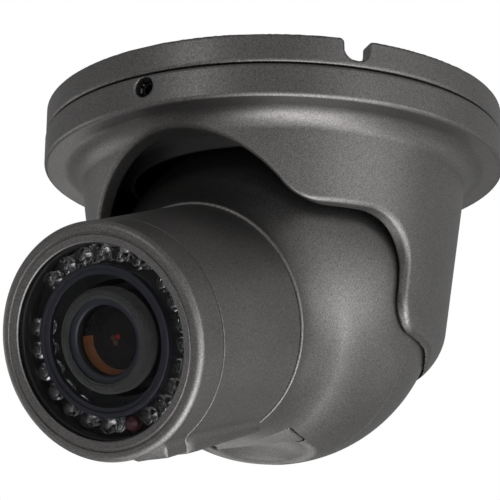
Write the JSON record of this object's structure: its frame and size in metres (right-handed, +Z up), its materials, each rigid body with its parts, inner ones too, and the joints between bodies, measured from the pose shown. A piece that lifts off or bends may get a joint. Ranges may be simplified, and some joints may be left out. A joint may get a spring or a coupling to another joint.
{
  "type": "turret dome security camera",
  "caption": "Ceiling turret camera: a fixed base, a panning cover and a tilting ball with a varifocal lens inside a ring of infrared lamps behind a flat window.",
  "frame": {"origin": "Centre of the ceiling face: the middle of the base's flat top, on the pan axis.", "axes": "+Z is up, out of the ceiling face into the ceiling, along the pan axis. -Y is the front, the way the lens looks when the pan joint is at zero. +X is to the right seen from behind the camera looking forward, left seen from in front."},
  "size_m": [0.1464, 0.1749, 0.1253],
  "materials": {
    "paint": "satin dark grey metallic paint with a fine sparkle",
    "black_plastic": "matt black moulded plastic",
    "rubber": "soft black rubber",
    "soft_baffle": "smooth blue-grey rubber",
    "foam": "dark open foam",
    "lens_ring": "satin blue-grey plastic",
    "black_steel": "black oxide screw steel",
    "steel": "turned steel",
    "window": "flat clear glass",
    "coated_glass": "polished lens glass with a dark anti-reflection coating",
    "clear_resin": "clear moulded resin",
    "circuit_board": "dark solder mask",
    "chip": "sealed silicon package"
  },
  "bodies": {
    "base": {"base_plate": "paint", "cable_grommet": "rubber"},
    "cover": {"cover_yoke": "paint", "pan_seal": "rubber", "ball_retaining_ring": "black_plastic", "pivot_pin_right": "steel", "pivot_pin_left": "steel", "friction_washer_right": "black_plastic", "friction_washer_left": "black_plastic"},
    "lock_screw_1": {"lock_screw_1": "black_steel"},
    "lock_screw_2": {"lock_screw_2": "black_steel"},
    "lock_screw_3": {"lock_screw_3": "black_steel"},
    "ball": {"ball_front_housing": "paint", "ball_rear_housing": "paint", "main_board": "circuit_board", "cable_connector": "black_plastic", "barrel_sleeve": "paint", "cap_oring": "rubber", "lamp_board": "circuit_board", "ir_lamp_01": "clear_resin", "ir_lamp_02": "clear_resin", "ir_lamp_03": "clear_resin", "ir_lamp_04": "clear_resin", "ir_lamp_05": "clear_resin", "ir_lamp_06": "clear_resin", "ir_lamp_07": "clear_resin", "ir_lamp_08": "clear_resin", "ir_lamp_09": "clear_resin", "ir_lamp_10": "clear_resin", "ir_lamp_11": "clear_resin", "ir_lamp_12": "clear_resin", "ir_lamp_13": "clear_resin", "ir_lamp_14": "clear_resin", "ir_lamp_15": "clear_resin", "ir_lamp_16": "clear_resin", "ir_lamp_17": "clear_resin", "ir_lamp_18": "clear_resin", "ir_lamp_19": "clear_resin", "ir_lamp_20": "clear_resin", "ir_lamp_21": "clear_resin", "light_sensor": "clear_resin", "lens_body": "black_plastic", "lens_front_ring": "lens_ring", "lens_foam_ring": "foam", "front_lens": "coated_glass", "rear_lens": "coated_glass", "lens_mount": "black_plastic", "sensor_board": "circuit_board", "image_sensor": "chip"},
    "cap": {"front_cap": "paint", "cap_screw": "black_steel", "window_glass": "window", "window_retainer": "black_plastic", "window_light_baffle": "soft_baffle"},
    "zoom_ring": {"zoom_ring": "black_plastic"},
    "focus_ring": {"focus_ring": "black_plastic"},
    "cut_filter": {"cut_filter": "black_plastic"},
    "service_cover": {"service_cover": "paint"},
    "menu_button": {"menu_button": "rubber"}
  },
  "joints": [
    {"name": "pan", "type": "hinge", "parent": "base", "child": "cover", "pos_m": [0, 0, 0], "axis": [0, 0, 1], "range_deg": [-175, 175]},
    {"name": "lock_screw_1_out", "type": "slide", "parent": "cover", "child": "lock_screw_1", "axis": [0, -1, 0], "range_m": [0, 0.004]},
    {"name": "lock_screw_2_out", "type": "slide", "parent": "cover", "child": "lock_screw_2", "axis": [0.866, 0.5, 0], "range_m": [0, 0.004]},
    {"name": "lock_screw_3_out", "type": "slide", "parent": "cover", "child": "lock_screw_3", "axis": [-0.866, 0.5, 0], "range_m": [0, 0.004]},
    {"name": "tilt", "type": "hinge", "parent": "cover", "child": "ball", "pos_m": [0, 0, -0.0603], "axis": [1, 0, 0], "range_deg": [-18.8, 71.1]},
    {"name": "cap_pull_off", "type": "slide", "parent": "ball", "child": "cap", "axis": [0, -0.9465, -0.3228], "range_m": [0, 0.02]},
    {"name": "zoom", "type": "hinge", "parent": "ball", "child": "zoom_ring", "pos_m": [0, 0.00069, -0.06232], "axis": [0, -0.9465, -0.3228], "range_deg": [0, 90]},
    {"name": "focus", "type": "hinge", "parent": "ball", "child": "focus_ring", "pos_m": [0, 0.00069, -0.06232], "axis": [0, -0.9465, -0.3228], "range_deg": [0, 120]},
    {"name": "filter_shift", "type": "slide", "parent": "ball", "child": "cut_filter", "axis": [-1, 0, 0], "range_m": [0, 0.01]},
    {"name": "service_cover_lift", "type": "slide", "parent": "ball", "child": "service_cover", "axis": [0, -0.2453, -0.9694], "range_m": [0, 0.01]},
    {"name": "menu_press", "type": "slide", "parent": "ball", "child": "menu_button", "axis": [0, 0.2453, 0.9694], "range_m": [0, 0.0006], "stiffness_N_per_m": 400, "springref_m": -0.0001}
  ]
}
